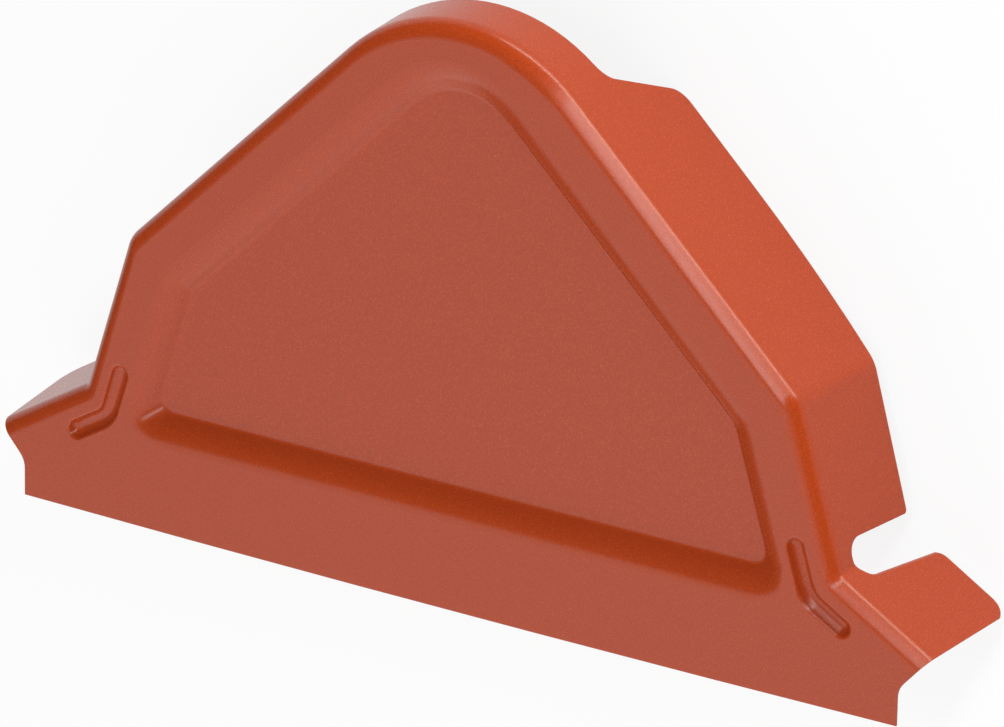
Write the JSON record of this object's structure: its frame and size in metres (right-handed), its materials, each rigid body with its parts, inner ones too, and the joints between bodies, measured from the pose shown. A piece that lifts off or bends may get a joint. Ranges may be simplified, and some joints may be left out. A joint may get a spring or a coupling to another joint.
{
  "type": "ridge end cap",
  "caption": "Pressed sheet-steel end cap for a trapezoid roof ridge, painted brick red, with a recessed panel, slotted wings and an open back",
  "frame": {"origin": "middle of the cap's bounding box, on the floor under the back edges of its walls", "axes": "X across the face, Y up the face to the apex, Z out of the face, upwards as it lies"},
  "size_m": [0.2916, 0.1598, 0.0382],
  "materials": {
    "painted_sheet": "satin"
  },
  "bodies": {
    "root": {"end_cap": "painted_sheet"}
  },
  "joints": []
}
